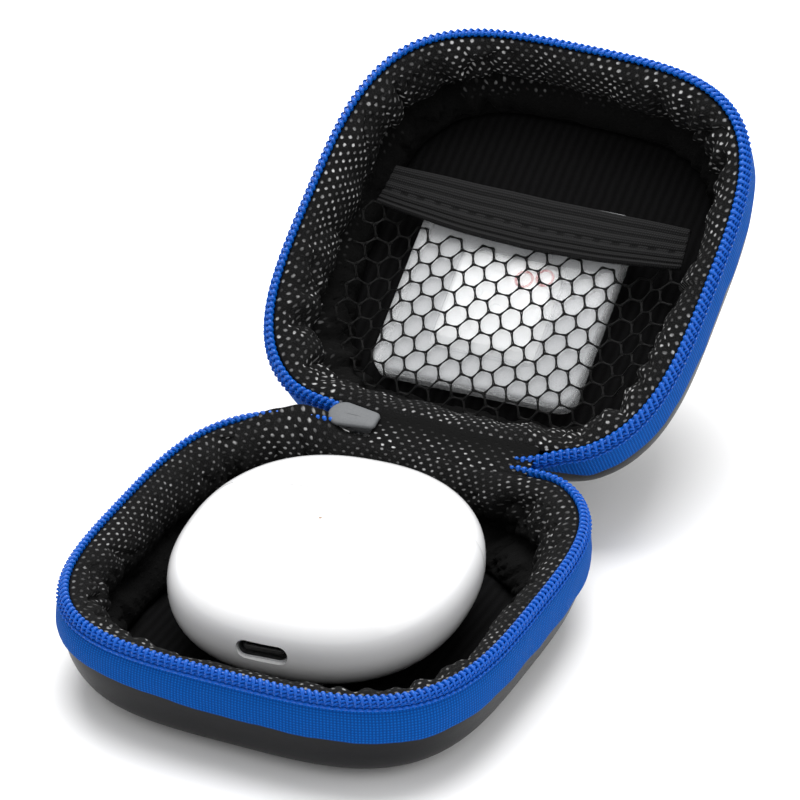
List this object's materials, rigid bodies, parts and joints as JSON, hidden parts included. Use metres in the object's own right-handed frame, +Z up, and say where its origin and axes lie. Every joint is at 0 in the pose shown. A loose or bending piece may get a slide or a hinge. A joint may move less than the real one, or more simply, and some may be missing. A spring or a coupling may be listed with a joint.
{
  "type": "earphone carrying case kit",
  "caption": "Zip-round hard case with a net pocket, holding a wireless earbud charging case and a clear accessory box, open at its fabric hinge.",
  "frame": {"origin": "centre of the flat underside of the case's lower half, on the table", "axes": "+Z up, +Y from the front of the case towards its fabric hinge, +X to the right"},
  "size_m": [0.0786, 0.1524, 0.0615],
  "materials": {
    "shell_skin": "satin",
    "knit_lining": "matte",
    "floor_felt": "matte",
    "zip_tape": "matte",
    "zip_coil": "gloss",
    "elastic": "matte",
    "net": "matte",
    "hinge_cloth": "matte",
    "slider_metal": "satin",
    "clear_plastic": "gloss",
    "insert_white": "matte",
    "case_white": "gloss",
    "inner_white": "satin",
    "steel": "satin",
    "magnet": "satin",
    "battery_wrap": "satin",
    "board_green": "satin",
    "light_guide": "gloss",
    "gold": "gloss",
    "tip_rubber": "matte"
  },
  "bodies": {
    "base": {"base_shell": "shell_skin", "base_side_lining": "knit_lining", "base_floor_pad": "floor_felt", "base_zip_tape": "zip_tape", "base_zip_coil": "zip_coil"},
    "lid": {"lid_shell": "shell_skin", "lid_side_lining": "knit_lining", "lid_floor_pad": "floor_felt", "lid_zip_tape": "zip_tape", "lid_zip_coil": "zip_coil", "pocket_band": "elastic", "pocket_net": "net"},
    "fold": {"hinge_fabric": "hinge_cloth", "hinge_lining": "knit_lining", "zip_end_tack": "zip_tape"},
    "slider": {"slider_body": "slider_metal"},
    "pull": {"pull_tab": "slider_metal"},
    "accessory_box": {"accessory_box_base": "clear_plastic", "accessory_box_cover": "clear_plastic", "accessory_insert": "insert_white"},
    "charging_case": {"case_body_shell": "case_white", "earbud_cradle": "inner_white", "case_hinge_block": "inner_white", "case_hinge_pin": "steel", "body_magnets": "magnet", "case_battery": "battery_wrap", "case_circuit_board": "board_green", "usb_socket": "steel", "status_light": "light_guide", "charging_pins": "gold", "left_earbud_shell": "case_white", "right_earbud_shell": "case_white", "left_ear_tip": "tip_rubber", "right_ear_tip": "tip_rubber", "left_driver": "gold", "right_driver": "gold", "left_cell": "steel", "right_cell": "steel"},
    "charging_case_lid": {"case_lid_shell": "case_white", "case_lid_liner": "inner_white", "lid_hinge_arms": "inner_white", "lid_magnets": "magnet"}
  },
  "joints": [
    {"name": "lid_fold", "type": "hinge", "parent": "base", "child": "lid", "pos_m": [0, 0.03904, 0.0186], "axis": [-1, 0, 0], "range_deg": [-147, 18]},
    {"name": "fold_turn", "type": "hinge", "parent": "base", "child": "fold", "pos_m": [0, 0.03904, 0.0186], "axis": [-1, 0, 0], "range_deg": [-73.5, 9], "deforming": ["hinge_fabric", "hinge_lining"]},
    {"name": "zip_slide", "type": "slide", "parent": "fold", "child": "slider", "axis": [-1, 0, 0], "range_m": [0, 0.0025]},
    {"name": "pull_swing", "type": "hinge", "parent": "slider", "child": "pull", "pos_m": [-0.0136, 0.04015, 0.01486], "axis": [0, -0.9588, -0.284], "range_deg": [-60, 60]},
    {"name": "charging_case_lift", "type": "slide", "parent": "base", "child": "charging_case", "axis": [0, 0, 1], "range_m": [0, 0.045]},
    {"name": "charging_case_lid_open", "type": "hinge", "parent": "charging_case", "child": "charging_case_lid", "pos_m": [-0.00094, 0.00896, 0.0239], "axis": [0.9952, 0.0976, 0], "range_deg": [0, 95]},
    {"name": "accessory_box_slide", "type": "slide", "parent": "lid", "child": "accessory_box", "axis": [0, 0.8387, 0.5446], "range_m": [0, 0.012]}
  ],
  "couplings": [
    {"joint": "fold_turn", "follows": "lid_fold", "ratio": 0.5}
  ]
}
